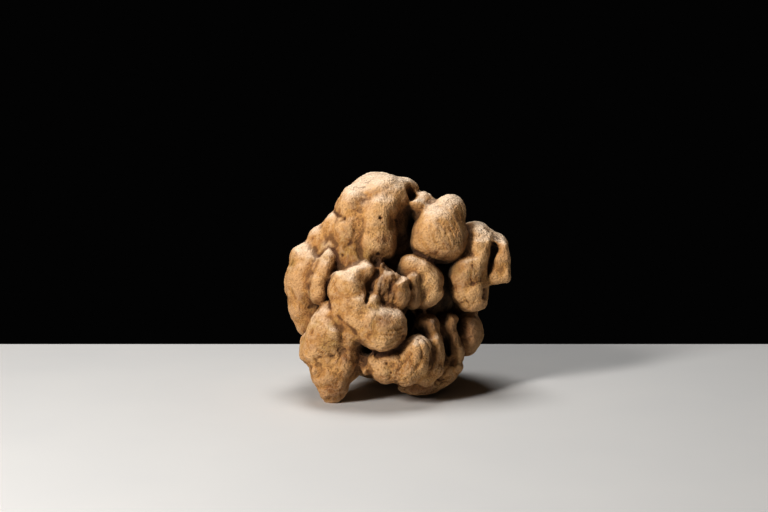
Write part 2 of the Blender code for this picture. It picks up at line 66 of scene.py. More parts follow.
# Each lobe: how many times it is smoothed, then the balls it swells from. Each ball: right, back and up
# of its middle, half its width, depth and height, and its pitch, roll and yaw.
LOBES = {
    # The hidden flesh that every lobe grows from.
    "core": (4, (
        ((-2, 4, 52), (27, 22, 30), (0, 0, 0)),
        ((0, 5, 30), (21, 15, 17), (0, 0, 0)),
    )),
    # The crown, which runs smoothly down into a blunt nose.
    "crown": (10, (
        ((-8.5, -2, 83.8), (16.8, 20, 13.8), (0, 0, 0)),
        ((-17, -6, 82.5), (10, 16, 13), (0, 25, 0)),
        ((-6, -14, 86), (11, 11, 9.6), (0, 0, 0)),
        ((1.5, -6, 86.5), (7.8, 11, 8.8), (0, 0, 0)),
        ((-7, -20, 81.5), (6.8, 9, 7), (0, 0, 0)),
        ((-9.4, -17.5, 76), (8.6, 12, 12), (0, 0, 0)),
        ((-12.6, -18, 68.2), (5.4, 10.4, 9.8), (0, 0, 0)),
        ((-13, -17.4, 62.4), (5.2, 10.2, 8), (0, 0, 0)),
        ((-8.6, -19, 67.6), (6, 10.4, 9.6), (0, 0, 0)),
        ((-5.4, -18.4, 68.6), (4.9, 9.8, 10), (0, 0, 0)),
        ((-0.4, -7.5, 75), (5, 9.5, 12), (0, 0, 0)),
    )),
    "temple": (8, (
        ((-19.6, -12.8, 81), (7.4, 12, 9.8), (0, 12, 0)),
        ((-21, -16.6, 72), (7.6, 11.6, 9.8), (0, 8, 0)),
        ((-20.4, -16.4, 63), (7.6, 11, 8.6), (0, 0, 0)),
        ((-18.6, -17, 57.6), (7.6, 11, 7.6), (0, 0, 0)),
        ((-16.6, -15.6, 74), (5, 11.6, 12), (0, 0, 0)),
    )),
    "shoulder": (12, (
        ((-25.5, -8, 73), (7.8, 13, 9.6), (0, 35, 0)),
        ((-31, -5, 66.5), (8.8, 13, 10), (0, 40, 0)),
        ((-28, -11, 62), (8.5, 12, 9), (0, 0, 0)),
        ((-27, -13, 52), (8.5, 11, 10), (0, 0, 0)),
    )),
    "knots": (3, (
        ((10.6, -10, 84.8), (5.4, 6.8, 4.8), (0, 20, 0)),
        ((13, -12, 82.4), (3.9, 5.6, 4.4), (0, 0, 0)),
        ((7.4, -15.4, 82.6), (5, 5, 2.8), (0, 8, 0)),
        ((8.9, -13, 79.6), (3.4, 5, 4.6), (0, 15, 0)),
    )),
    "pit_rim": (3, (
        ((1.9, -14.5, 87.3), (1.9, 4, 4.4), (0, -22, 0)),
        ((4.8, -14, 83), (3.6, 4.4, 2), (0, 12, 0)),
    )),
    # The left cheek and the finger that lies on it.
    "cheek": (12, (
        ((-38.4, -7, 50), (9.9, 13.5, 14), (0, 0, 0)),
        ((-37.2, -6, 59), (9.9, 12.5, 7.6), (0, 35, 0)),
        ((-38.6, -5, 40), (9.6, 13, 10), (0, -15, 0)),
        ((-35.4, -6, 33.5), (8.9, 12, 8), (0, -25, 0)),
    )),
    "finger": (8, (
        ((-29.2, -17.8, 60.4), (5, 7, 4.9), (0, 0, 0)),
        ((-30.2, -18.6, 57.4), (5.4, 7.6, 5.4), (0, 0, 0)),
        ((-31.3, -19.2, 54), (5.7, 8, 5.4), (0, 0, 0)),
        ((-32.4, -19.6, 50.4), (5.9, 8.2, 5.6), (0, 0, 0)),
        ((-33.2, -19.4, 46.6), (5.4, 7.8, 5.6), (0, 0, 0)),
    )),
    # The heart hangs in front of everything.
    "heart": (6, (
        ((-20.6, -29, 47.4), (8.8, 9.8, 9), (0, 0, 0)),
        ((-23.2, -28.4, 51), (5.4, 8.8, 5), (0, 0, 0)),
        ((-18.4, -27.8, 53), (6, 8.6, 5), (0, -15, 0)),
        ((-13.4, -26, 54.8), (4.9, 8, 5.1), (0, 0, 0)),
        ((-20.4, -29.4, 41), (8.6, 10.4, 9), (0, 0, 0)),
        ((-16.4, -30.6, 41), (7, 10.2, 7), (0, 0, 0)),
        ((-23, -26.8, 35.6), (6.4, 10, 7.4), (0, 0, 0)),
        ((-19.6, -28, 31), (6.6, 10, 7), (0, 0, 0)),
        ((-17.4, -30.6, 36.6), (8.9, 10.2, 8.4), (0, 0, 0)),
        ((-12, -32, 33.6), (8.8, 10.2, 9.6), (0, 0, 0)),
        ((-6.1, -32.6, 31.5), (9.8, 10.2, 10), (0, 0, 0)),
        ((-7, -33.8, 27), (7.6, 8.6, 5.8), (0, 0, 0)),
        ((-10.6, -31.5, 41.2), (3.6, 8, 5.6), (0, 20, 0)),
    )),
    "gnarl": (2, (
        ((-5, -27, 49), (5, 8, 7.6), (0, 0, 0)),
        ((-4.4, -28, 52), (4.6, 7.4, 3.6), (0, -15, 0)),
        ((-8, -29, 48), (3.6, 7.5, 4.6), (0, 0, 0)),
        ((-9.4, -28, 46), (2.4, 6.6, 5), (0, 0, 0)),
        ((-7, -26, 56.8), (1.9, 6.4, 3), (0, 0, 0)),
        ((-3.4, -28.2, 44.4), (4, 7.6, 3.8), (0, 0, 0)),
    )),
    "rib": (4, (
        ((0.4, -27, 46), (4.2, 8.4, 7.2), (0, 6, 0)),
        ((0.4, -29.4, 49.4), (4.4, 7.4, 1.9), (0, -38, 0)),
    )),
    # The left foot, a blunt cone whose flank runs up beside the heart.
    "foot": (9, (
        ((-28, -22, 24), (12.8, 12.5, 11), (0, 0, 0)),
        ((-26.6, -23, 35.6), (7.2, 11, 8), (0, 0, 0)),
        ((-27.4, -24, 29.6), (11.2, 12.4, 9), (0, 0, 0)),
        ((-29, -22.8, 33), (8, 11.6, 7), (0, 0, 0)),
        ((-21, -25, 28), (7, 11.4, 7), (0, 0, 0)),
        ((-36, -18, 22.6), (6.6, 9, 8), (0, -15, 0)),
        ((-19.8, -22.6, 21.5), (7, 10.6, 9), (0, 15, 0)),
        ((-23, -24.6, 17.4), (7, 9.4, 8), (0, 20, 0)),
        ((-27.8, -21.5, 15), (9.6, 11, 11), (0, 0, 0)),
        ((-27.6, -21, 8.6), (7, 8, 8.7), (0, 0, 0)),
        ((-20.4, -20.4, 14.8), (5.4, 8.5, 7), (0, 25, 0)),
    )),
    "foot_knob": (1, (
        ((-26.6, -35.4, 29.2), (2.8, 2.8, 2.3), (0, 25, 0)),
        ((-21.8, -31, 19.5), (1.9, 2.6, 1.9), (0, 0, 0)),
        ((-34.4, -28.6, 13.6), (2.2, 2.6, 1.9), (0, 20, 0)),
    )),
    # The egg.
    "egg": (12, (
        ((20.8, -14, 80), (8, 10.5, 8.4), (0, 0, 0)),
        ((17.8, -16, 74.5), (10.6, 12, 10), (0, 15, 0)),
        ((17.4, -16.5, 69.6), (12.2, 13, 11), (0, 15, 0)),
        ((11.2, -16, 67.4), (6.8, 10, 7), (0, 0, 0)),
    )),
    # The curl, and the leaf that lies on it.
    "curl": (4, (
        ((9, -15, 50), (9, 10, 11), (0, -10, 0)),
        ((5.4, -20, 56.4), (6.2, 6.4, 6.2), (0, 0, 0)),
        ((9.8, -21, 54.8), (6.2, 6.4, 6.2), (0, 0, 0)),
        ((13, -21.8, 51.4), (6.2, 6.2, 6.4), (0, 0, 0)),
        ((13.4, -21.8, 46.8), (5.4, 6, 5.6), (0, 0, 0)),
        ((9.4, -21.4, 48.6), (6.2, 6.4, 6.6), (0, 0, 0)),
        ((11, -20.6, 43.4), (4.8, 6, 4.8), (0, 0, 0)),
    )),
    "curl_leaf": (4, (
        ((6, -23, 51), (3.9, 7.2, 4.2), (0, -25, 0)),
        ((6.8, -23.2, 47), (3.7, 7.2, 5.4), (0, 0, 0)),
        ((5.8, -22.4, 42.6), (3.8, 7, 4.2), (0, 20, 0)),
    )),
    # The wing, its shelf and its flap.
    "wing": (6, (
        ((28.4, -13.6, 47.4), (7, 10, 8), (0, 0, 0)),
        ((27, -14.4, 52.6), (6, 10, 6.4), (0, -15, 0)),
        ((27.6, -14, 48.8), (5.4, 9.8, 6), (0, 0, 0)),
        ((31.4, -13, 43), (7, 9.4, 5.4), (0, -10, 0)),
        ((32, -13.6, 48), (6.2, 10, 9), (0, 0, 0)),
        ((29.8, -14.8, 54.4), (7.2, 10, 6.6), (0, 20, 0)),
        ((28.6, -14.4, 57.4), (5.2, 10, 4.8), (0, 0, 0)),
        ((32.4, -13.8, 57), (5.4, 10, 6.6), (0, 20, 0)),
        ((34.6, -13, 61), (5, 10, 7.4), (0, 15, 0)),
        ((33.6, -13, 65.4), (6.4, 10, 5.8), (0, 30, 0)),
        ((36.8, -12.6, 66.4), (4.6, 10, 6), (0, 15, 0)),
    )),
    "wing_edge": (3, (
        ((34.6, -12.5, 46.2), (3.8, 8.6, 6.2), (0, 0, 0)),
    )),
    "shelf": (8, (
        ((32.5, -5, 68.8), (8.8, 13, 8), (0, 28, 0)),
        ((34.4, -10, 68.6), (8, 10, 5.6), (0, 28, 0)),
        ((38.5, -5, 66.2), (7.2, 12, 6.8), (0, 22, 0)),
        ((40.4, -9, 67), (5, 9.6, 3.8), (0, 32, 0)),
        ((36, 2, 58), (7, 11, 9), (0, 0, 0)),
    )),
    "flap": (4, (
        ((42.8, -8.6, 60), (4.2, 9, 9), (0, 6, 0)),
        ((42.6, -8.6, 66), (4.4, 9.4, 4.6), (0, -15, 0)),
        ((43.4, -15.4, 64.4), (3.4, 4.8, 4.4), (0, 0, 0)),
        ((44.6, -15.4, 60.6), (3.2, 4.8, 5), (0, 0, 0)),
        ((42.2, -15.6, 59), (3.4, 4.8, 5), (0, 0, 0)),
        ((44.4, -15.2, 55), (3.4, 4.8, 5), (0, 0, 0)),
        ((41.4, -15.2, 54.2), (3.8, 4.8, 4.6), (0, 0, 0)),
        ((38.8, -14.6, 52.2), (3, 4.8, 2.8), (0, 0, 0)),
    )),
    # The stack of folds under the curl, each tucked behind the one to its left.
    "stack_nub": (1, (
        ((-13.6, -28.4, 14.4), (2.7, 5, 3.7), (0, 12, 0)),
    )),
    "stack_near": (4, (
        ((-6.4, -27.4, 15.2), (6.8, 9.4, 6.8), (0, -8, 0)),
        ((-10.8, -27.8, 18.8), (3.9, 7.8, 4.2), (0, 0, 0)),
        ((-3.6, -27.4, 18.2), (6.6, 9, 5.2), (0, 0, 0)),
        ((0.2, -27.6, 15.4), (5.2, 9.2, 7.2), (0, 0, 0)),
        ((-6, -17, 15.4), (5.4, 11, 6), (0, 0, 0)),
    )),
    "stack_fold": (5, (
        ((3.6, -27.8, 14.8), (6.8, 9.4, 7.8), (0, 25, 0)),
        ((7, -27.6, 20.8), (7.2, 9.6, 8.9), (0, 18, 0)),
        ((2.8, -27.4, 19), (5.4, 9, 5.8), (0, 0, 0)),
        ((8.6, -27, 16.6), (5, 9, 6), (0, 0, 0)),
        ((6, -16.5, 17.6), (6, 11, 8.6), (0, 20, 0)),
    )),
    "stack_leaf": (3, (
        ((10.4, -16, 33.4), (5, 9, 5), (0, 0, 0)),
        ((13, -18.2, 31.4), (4.4, 8.8, 5.8), (0, 0, 0)),
        ((14.9, -19.8, 26), (4, 8.6, 5.4), (0, -8, 0)),
        ((15.6, -20.6, 20.6), (4, 8.6, 5.8), (0, 0, 0)),
        ((13.8, -21, 15.4), (4.8, 8.6, 5.4), (0, 28, 0)),
        ((9.6, -21.6, 11.6), (5.4, 8.6, 4.4), (0, 30, 0)),
        ((14, -12, 20), (4.2, 9, 10), (0, 0, 0)),
    )),
    "stack_far": (4, (
        ((19.6, -6, 29.6), (4.8, 9.6, 7.6), (0, -5, 0)),
        ((21.6, -6, 21.4), (5.6, 10.4, 9), (0, 0, 0)),
        ((18.6, -7, 13.6), (7, 11, 6.6), (0, -20, 0)),
    )),
    "stack_ridge": (2, (
        ((22.2, -12, 34.8), (3, 5.4, 3), (0, 0, 0)),
        ((21.2, -12, 31.2), (2.6, 5.6, 3.4), (0, 0, 0)),
        ((23.2, -12, 26.6), (2.5, 6, 4), (0, -22, 0)),
        ((25, -11.6, 20.6), (2.4, 6, 4.6), (0, -8, 0)),
        ((24.4, -11.2, 15.4), (2.6, 6, 3.4), (0, 0, 0)),
    )),
    "stack_belly": (6, (
        ((8.8, -10.5, 8.1), (10.2, 12, 6.3), (0, -8, 0)),
        ((18, -8, 11.2), (7, 9.4, 5.4), (0, -22, 0)),
    )),
    "stack_round": (5, (
        ((29.2, 0, 28.6), (7, 11, 9.4), (0, 8, 0)),
    )),
    # The back, which the face hides.
    "back_crown": (10, (
        ((5, 13, 79), (13, 12, 12), (0, 0, 0)),
        ((-6, 16, 80), (11, 11, 11), (0, 0, 0)),
    )),
    "back_left_high": (10, (
        ((-25, 12, 66), (11, 12, 11), (0, 20, 0)),
        ((-31, 13, 55), (10, 11, 12), (0, 0, 0)),
    )),
    "back_left_low": (10, (
        ((-29, 14, 39), (11, 12, 10), (0, 0, 0)),
        ((-21, 22, 34), (10, 10, 9), (0, 0, 0)),
    )),
    "back_middle": (10, (
        ((-6, 27, 62), (12, 9.5, 11), (0, 0, 0)),
        ((3, 29, 52), (10, 9, 11), (0, 20, 0)),
    )),
    "back_right_high": (10, (
        ((23, 13, 66), (11, 12, 10), (0, -10, 0)),
        ((29, 13, 56), (9.5, 12, 11), (0, 0, 0)),
    )),
    "back_right_low": (10, (
        ((17, 23, 38), (11, 10, 10), (0, 0, 0)),
        ((25, 13, 36), (10, 11, 11), (0, 0, 0)),
    )),
    "back_bud_one": (4, (
        ((-15, 27, 46), (6.5, 6, 6), (0, 0, 0)),
    )),
    "back_bud_two": (4, (
        ((11, 21, 69), (6, 6, 6.5), (0, 20, 0)),
    )),
    "back_bud_three": (4, (
        ((-34, 20, 47), (5.5, 6.5, 5), (0, 0, 0)),
    )),
    "back_fold": (6, (
        ((-14, 20, 72), (9, 8, 5), (0, 20, 0)),
        ((-20, 22, 62), (6, 7, 7), (0, 0, 0)),
    )),
    "back_low_middle": (6, (
        ((-8, 26, 36), (7.5, 7, 8), (0, 0, 0)),
        ((-10, 20, 26), (8, 8, 7), (0, 0, 0)),
    )),
    "under_left": (8, (
        ((-17, 3, 19), (9.5, 10, 8), (0, 20, 0)),
        ((-21, 12, 22), (9, 9, 8), (0, 0, 0)),
    )),
    "under_middle": (8, (
        ((-5, 6, 16.5), (9, 8, 7.5), (0, 0, 25)),
        ((-8, 14, 19), (8, 9, 8), (0, 0, 0)),
        ((-12.5, 6, 15), (9, 8.5, 7), (0, 0, 0)),
    )),
    "under_right": (8, (
        ((10, 9, 16.5), (8, 8.5, 7.5), (0, -15, 0)),
        ((19, 10, 23), (8, 9, 8), (0, 0, 0)),
    )),
    "back_foot": (8, (
        ((1, 24, 26), (11, 11, 12), (0, 0, 0)),
        ((-2, 25, 15.8), (8, 9, 8.5), (0, 0, 0)),
    )),
}

# Each cleft is cut out of the body, and is given as one ball.
CLEFTS = {
    "wing_groove": ((38.8, -19, 60), (0.9, 7, 9.4), (0, 15, 0)),
    "heart_notch": ((-12.6, -38.8, 46.2), (0.9, 6.2, 5.4), (0, 12, 0)),
    "crown_pit": ((4.9, -16.4, 88), (2.4, 4.8, 4.2), (0, -14, 0)),
    "cheek_hollow": ((-36.4, -19.6, 40), (3.2, 3, 1.4), (0, 0, 0)),
    "gnarl_rift": ((-2.2, -37, 49.4), (0.8, 4, 4), (0, 35, 0)),
    "rib_rift": ((4.8, -31, 46.6), (0.6, 4, 7), (0, -4, 0)),
    "leaf_rift": ((10.6, -31.6, 46.8), (0.6, 4, 6.6), (0, -6, 0)),
    "fold_rift": ((14.5, -31, 21), (0.6, 5, 7), (0, -6, 0)),
    "far_rift": ((20.2, -18, 24), (1.6, 6, 5.4), (0, -10, 0)),
    "stack_hollow": ((4.6, -16, 33), (1.7, 9, 5.6), (0, 0, 0)),
    "back_cleft": ((-1, 34, 44), (1.6, 7, 9), (0, 35, 0)),
    "side_cleft": ((-44, 8, 49), (7, 1.5, 9), (0, 0, -15)),
}

# The wrinkles of each lobe: whether they run along a direction or round a middle, that direction or middle
# as right, back and up, how wide apart they are, how deep, and how lumpy the skin between them is.
WRINKLES = {
    "core": ("along", (0, 0, 1), 2.0, 0.2, 1.0),
    "crown": ("along", (0.1, -0.1, 1), 2.0, 0.14, 0.85),
    "temple": ("along", (0.2, 0, 1), 2.0, 0.14, 0.9),
    "shoulder": ("along", (0.6, 0, 1), 2.0, 0.1, 1.0),
    "knots": ("along", (1, 0, -0.4), 1.4, 0.25, 1.3),
    "pit_rim": ("along", (0.3, 0, -1), 1.4, 0.15, 1.2),
    "cheek": ("along", (0.3, 0, 1), 2.2, 0.09, 0.9),
    "finger": ("along", (-0.3, 0, 1), 1.8, 0.14, 0.9),
    "heart": ("along", (0.9, 0, -0.3), 1.5, 0.12, 1.0),
    "gnarl": ("along", (0.2, 0, 1), 1.3, 0.7, 1.5),
    "rib": ("round", (-6, 0, 47), 1.4, 0.22, 0.8),
    "foot": ("along", (0.5, 0, 1), 1.8, 0.2, 1.2),
    "foot_knob": ("along", (1, 0, 0), 1.6, 0.1, 1.0),
    "egg": ("along", (0.3, 0, -1), 1.6, 0.26, 0.6),
    "curl": ("round", (3, 0, 47), 1.7, 0.12, 0.7),
    "curl_leaf": ("round", (-4, 0, 47), 1.3, 0.3, 0.6),
    "wing": ("along", (0.25, 0, 1), 1.8, 0.2, 1.1),
    "wing_edge": ("along", (0.25, 0, 1), 1.9, 0.3, 1.0),
    "shelf": ("along", (1, 0, -0.5), 1.8, 0.15, 1.0),
    "flap": ("along", (0.1, 0, 1), 1.7, 0.14, 1.0),
    "stack_nub": ("along", (0, 0, 1), 1.5, 0.2, 1.0),
    "stack_near": ("along", (0.5, 0, 1), 1.6, 0.3, 1.0),
    "stack_fold": ("round", (-2, 0, 19.5), 1.9, 0.6, 1.0),
    "stack_leaf": ("round", (-2, 0, 22), 1.5, 0.45, 1.0),
    "stack_far": ("round", (0, 0, 22), 1.8, 0.5, 1.0),
    "stack_ridge": ("round", (0, 0, 24), 1.6, 0.35, 1.0),
    "stack_belly": ("along", (1, 0, 0.1), 1.6, 0.5, 1.0),
    "stack_round": ("along", (-0.2, 0, 1), 1.8, 0.2, 1.0),
    "back_crown": ("along", (1, 0.2, 0.2), 2.2, 0.25, 1.0),
    "back_left_high": ("along", (0, 0.3, 1), 2.0, 0.25, 1.0),
    "back_left_low": ("along", (0, 1, 0.4), 1.8, 0.35, 1.0),
    "back_middle": ("along", (0.3, 0, 1), 2.0, 0.3, 1.0),
    "back_right_high": ("along", (0.2, 0.6, 1), 2.0, 0.3, 1.0),
    "back_right_low": ("along", (0.8, 0.6, 0.3), 1.8, 0.35, 1.0),
    "back_bud_one": ("along", (0, 0, 1), 1.6, 0.2, 1.0),
    "back_bud_two": ("along", (1, 0, 0), 1.6, 0.2, 1.0),
    "back_bud_three": ("along", (0, 0, 1), 1.6, 0.2, 1.0),
    "back_fold": ("along", (1, 0, 0.4), 1.6, 0.35, 1.0),
    "back_low_middle": ("along", (0.2, 0, 1), 1.7, 0.35, 1.0),
    "under_left": ("along", (1, 1, 0), 1.8, 0.3, 1.0),
    "under_middle": ("along", (1, -0.4, 0), 1.8, 0.3, 1.0),
    "under_right": ("along", (0.3, 1, 0), 1.8, 0.3, 1.0),
    "back_foot": ("along", (0.1, 0, 1), 1.8, 0.3, 1.0),
}
WRINKLE_STRETCH = 9.0

# The smaller unevenness of the skin. Each lump and each dent: how wide it is, how high or deep, and where its
# noise starts.
LUMPS = ((5.0, 0.4, 11), (1.4, 0.1, 15))
DENTS = ((3.6, 0.5, 13), (1.9, 0.18, 51))

# How far the lines of the skin drift, how slowly, and how wide the patches are where wrinkles fade.
DRIFT_WIDE_MM = 9.0
DRIFT_FAR_MM = 0.8
FADING_WIDE_MM = 10.0

# The winding hollows between its lumps: how far apart, how narrow and how deep they are, and how patchy.
WINDING_APART_MM = 7.0
WINDING_NARROW = 0.07
WINDING_DEEP_MM = 0.2
WINDING_PATCH_MM = 6.0

# The furrows and dents of the back, which has no listed creases: how far apart they run, how deep they are,
# and how far their lines swirl.
FURROWS_APART_MM = 12.0
FURROW_DEEP_MM = 1.0
DENTS_WIDE_MM = 6.5
DENT_DEEP_MM = 1.2
SWIRL_MM = 5.0

# How far from a cleft the back stays undented, because the rims there are thin.
RIM_MM = 1.5

# Where the relief turns thin skin over: how far its facing has turned, how many times the place spreads and
# strengthens, and how many times it is evened out.
TURNED_OVER = 0.1
TURNED_SPREADS = 8
TURNED_STRENGTH = 6
EVENED_TIMES = 40

# Creases in the face: their course as right and up, then how wide and how deep they are. A negative depth
# stands proud as a ridge. From a certain width on, a crease is a valley that isn't darkened; narrower creases
# are darkened with soil and painted shade.
VALLEY_WIDE_MM = 1.5
CREASES = (
    (((-17.8, 91), (-17.4, 84), (-17.2, 74), (-17.4, 66), (-16.4, 60)), 1.6, 0.3),
    (((-25, 76), (-21.4, 76.4), (-18.8, 72), (-19.6, 66.6), (-23, 64.4)), 0.7, 0.2),
    (((-1.6, 84), (-2, 78), (-2.4, 70), (-2.8, 62)), 0.9, -0.25),
    (((35.8, 47.2), (35.9, 43.8)), 0.7, 1.0),
    (((24, 41.6), (28, 42.4), (33, 41.4)), 0.8, 0.2),
    (((45.6, 66), (45.9, 60), (45.2, 53)), 1.2, -0.3),
    (((12.6, 60), (16.4, 56.4), (17.6, 52), (17.2, 47)), 0.6, 0.3),
    (((-27.6, 80.2), (-25.5, 78.8), (-22.8, 77.2)), 0.9, 0.45),
    (((-19, 76), (-18.4, 71), (-21, 66)), 0.8, 0.25),
    (((-15.6, 54), (-15, 50.6), (-14.4, 46)), 2.2, 0.6),
    (((-25.6, 37), (-20.8, 32.4), (-18.6, 30.2), (-15.8, 26.3), (-13.6, 23.6)), 0.8, 0.35),
    (((-33.4, 61.6), (-31.4, 64), (-29.4, 65.6), (-27.2, 64.2), (-25.4, 61.6), (-25.4, 58)), 0.8, 0.5),
    (((30.2, 57.5), (29.9, 54.5), (30.1, 51.6)), 0.6, 0.4),
    (((31.4, 57.2), (31.6, 54), (32.6, 50)), 0.6, 0.25),
    (((1, 22), (-0.2, 17), (-1.4, 12), (-2, 8.4)), 0.7, 0.2),
    (((-20, 25), (-22, 15), (-23.6, 5)), 2.0, -0.5),
    (((-34.5, 18.4), (-31, 20), (-27, 20.4)), 0.8, 0.25),
    (((-9, 24.4), (-5, 23.6), (-0.8, 24.8)), 0.5, 0.34),
    (((-9, 26), (-4, 25.2), (0.6, 26.8)), 0.5, 0.32),
    (((-8, 27.6), (-3, 26.8), (1.8, 28.6)), 0.5, 0.34),
    (((-6, 29.2), (-2, 28.6), (2.4, 30.4)), 0.5, 0.3),
    (((-4, 30.8), (-0.6, 30.6), (2.8, 32.4)), 0.5, 0.26),
    (((-12.5, 22), (-8.6, 21.3), (-3.8, 21.3), (0.2, 24), (2.8, 28.6)), 0.8, 1.1),
    (((-25.8, 55.7), (-29.1, 50.7), (-29.8, 46.8), (-28.4, 40.4)), 0.7, 0.5),
    (((4.6, 65), (8, 62.4), (11.4, 60.7), (15.4, 59), (19.4, 58.2)), 0.7, 0.7),
    (((-33.6, 59.7), (-35.2, 55.5), (-37, 51.2), (-38, 48.2), (-37.4, 43.9)), 0.7, 0.35),
)

# Pits in the face: right and up of their middle, how wide and how deep they are.
PITS = (
    ((-7.6, 77.2), 0.7, 0.9),
    ((-1.3, 76.5), 0.6, 0.6),
    ((-8.6, 62.1), 0.7, 0.8),
    ((30.6, 49.7), 1.3, 0.35),
    ((-5.2, 17.4), 0.6, 0.5),
    ((-8.6, 14.6), 0.5, 0.4),
    ((-3.4, 13.4), 0.5, 0.4),
    ((-7.6, 35.6), 0.6, 0.35),
    ((-5.6, 36.8), 0.5, 0.35),
    ((-23.6, 61.8), 0.6, 0.5),
)

# Stained patches of the face: right and up of their middle, half their width and height, and how strong.
STAINS = (
    ((-6.4, 68.4), (4.2, 2), 0.9),
    ((-6.4, 35.6), (4.6, 2.8), 1.0),
    ((1.6, 34), (1.8, 4.6), 0.7),
    ((-27.4, 5.4), (5, 4.6), 0.9),
    ((-17, 52.6), (2.8, 2.4), 0.7),
    ((25.4, 48.6), (2.2, 2), 0.7),
    ((-21.8, 19.6), (2.2, 2.2), 0.9),
    ((-35.6, 24), (3, 2.4), 0.5),
    ((-7, 11.4), (4.4, 1.8), 0.7),
    ((-26, 79), (3.2, 1.4), 0.9),
    ((9, 6), (6.4, 2.2), 0.9),
    ((-21, 60.4), (3.4, 2.4), 0.5),
    ((29, 30), (5, 7), 0.9),
    ((5.4, 15), (1.8, 1.8), 0.5),
    ((17.6, 63.6), (4.4, 2), 0.6),
    ((-3.6, 81.6), (2.6, 2), 0.4),
)

# Dark patches, some where soil has rubbed into the skin and some painted shade on folds that lie in shadow,
# and pale patches of painted light on lobes that the lamps leave too dim.
DIRT_AND_PAINTED_SHADE = (
    ((-6.2, 48.8), (5, 7), 0.75),
    ((2, 45.6), (2.6, 5), 0.5),
    ((7.2, 47), (2.2, 7.4), 0.9),
    ((12, 33), (6, 6), 0.7),
    ((22, 27), (5, 10), 0.85),
    ((30, 28), (6, 9), 0.45),
    ((9, 6), (9, 3), 0.6),
    ((-15.4, 22), (2.4, 6), 0.6),
    ((-21, 10), (4, 8), 0.3),
    ((0.6, 72), (3, 12), 0.5),
    ((-14, 51), (2.2, 4), 0.6),
    ((-7, 58.6), (3.6, 2.6), 0.7),
    ((17, 60), (7, 2), 0.4),
    ((-6.6, 35.8), (4.2, 2.4), 0.2),
    ((-6.4, 68.4), (3.8, 1.8), 0.4),
    ((27.4, 70), (3, 9), 0.5),
)
# These pale patches are painted light, on the nose, the heart and its ball, the curl, the wing, the foot and
# the fold below the ball.
PAINTED_LIGHT_PATCHES = (
    ((-9.4, 72), (6.4, 11), 0.7),
    ((-6, 25.6), (7, 4), 0.9),
    ((13, 50), (5.6, 9.6), 1.0),
    ((33.4, 62), (4.6, 6.4), 0.8),
    ((-15, 40), (6, 6), 0.5),
    ((38, 71), (8, 4), 0.5),
    ((-28, 22), (9, 8), 0.4),
    ((-6, 16), (6, 5), 0.4),
    ((-11, 45), (1.6, 3), 0.6),
    ((29, 46), (5, 6), 0.4),
)

# The colours of the skin, from its dust, also used as painted top light, to the near black painted shade in
# its gaps.
OCHRE = (0.46, 0.232, 0.078, 1)
HONEY = (0.58, 0.325, 0.115, 1)
TAN = (0.34, 0.16, 0.05, 1)
RUSSET = (0.28, 0.11, 0.036, 1)
OLIVE = (0.42, 0.26, 0.075, 1)
# The colour of dust, laid on tops also as painted top light.
DUST_AND_TOP_LIGHT = (0.88, 0.72, 0.56, 1)
CREAM = (0.76, 0.475, 0.215, 1)
UMBER = (0.11, 0.044, 0.015, 1)
# Near black painted shade for the gaps.
GAP_SHADE_BLACK = (0.02, 0.009, 0.004, 1)
BUMP_STRENGTH = 0.8
BUMP_HEIGHT_MM = 1.3

# What the material is told: how deep a crease counts in full, how far the skin stands proud of what is near
# and of what is broadly round it, and how far off and in how many ways other skin shuts it in.
CREASE_FULL_MM = 0.6
NEAR_TIMES = 12
NEAR_SPAN_MM = 0.5
BROAD_TIMES = 90
BROAD_SPAN_MM = 2.4
SHUT_IN_REACH_MM = 14.0
SHUT_IN_WAYS = 40

# How wide the skin's clouds of colour are, and how far apart its flecks and pores are.
BROAD_MM = 14.0
PATCHES_MM = 5.0
MOTTLE_MM = 2.0
GRIT_MM = 0.9
FLECKS_MM = 2.4
PORES_MM = 0.9

# The slab: its colours, its width, length and thickness, where its back edge is, and how rounded it is.
SLAB_COOL = (0.62, 0.62, 0.625, 1)
SLAB_WARM = (0.66, 0.655, 0.65, 1)
SLAB_SIZE = (1.6, 1.2, 0.03)
SLAB_BACK = 0.095
SLAB_ROUNDING = 0.006

# The lamps: a soft key from the left in front, a broad one overhead, and a weak low fill from the front.
LAMPS_AIM = (0, 0, 0.045)
KEY_PLACE = (-0.55, -0.53, 0.48)
KEY_SIZE = (0.14, 0.30)
KEY_POWER = 8.2
KEY_COLOUR = (1.0, 0.97, 0.93)
TOP_PLACE = (-0.06, 0.14, 0.80)
TOP_SIZE = (0.35, 0.35)
TOP_POWER = 4.0
TOP_COLOUR = (1.0, 0.99, 0.97)
FILL_PLACE = (-0.30, -0.75, 0.16)
FILL_SIZE = (0.5, 0.5)
FILL_POWER = 0.25
FILL_COLOUR = (1.0, 0.93, 0.84)
ROOM_COLOUR = (0.002, 0.002, 0.002, 1)
PICTURE_GAMMA = 0.82

# The camera: what it looks at, how far off and how high it stands, its lens and how its view is shifted.
LOOK_AT = (0, 0, 0.048)
CAMERA_FAR = 0.774
CAMERA_ELEVATION_DEG = 10.0
LENS_MM = 85.0
SHIFT_RIGHT = -13 / 768
SHIFT_UP = 22 / 768


def placed(middle, halves, tilt):
    """The matrix that turns a unit ball into a swelling, in metres."""
    turn = Euler([math.radians(angle) for angle in tilt]).to_matrix().to_4x4()
    squeeze = Matrix.Diagonal([*(half * MM for half in halves), 1])
    return Matrix.Translation(Vector(middle) * MM) @ turn @ squeeze


def balls(name, shapes):
    """One object holding every shape as a ball squeezed to its size."""
    bm = bmesh.new()
    for middle, halves, tilt in shapes:
        bmesh.ops.create_icosphere(bm, subdivisions=4, radius=1, matrix=placed(middle, halves, tilt))
    return as_object(name, bm)


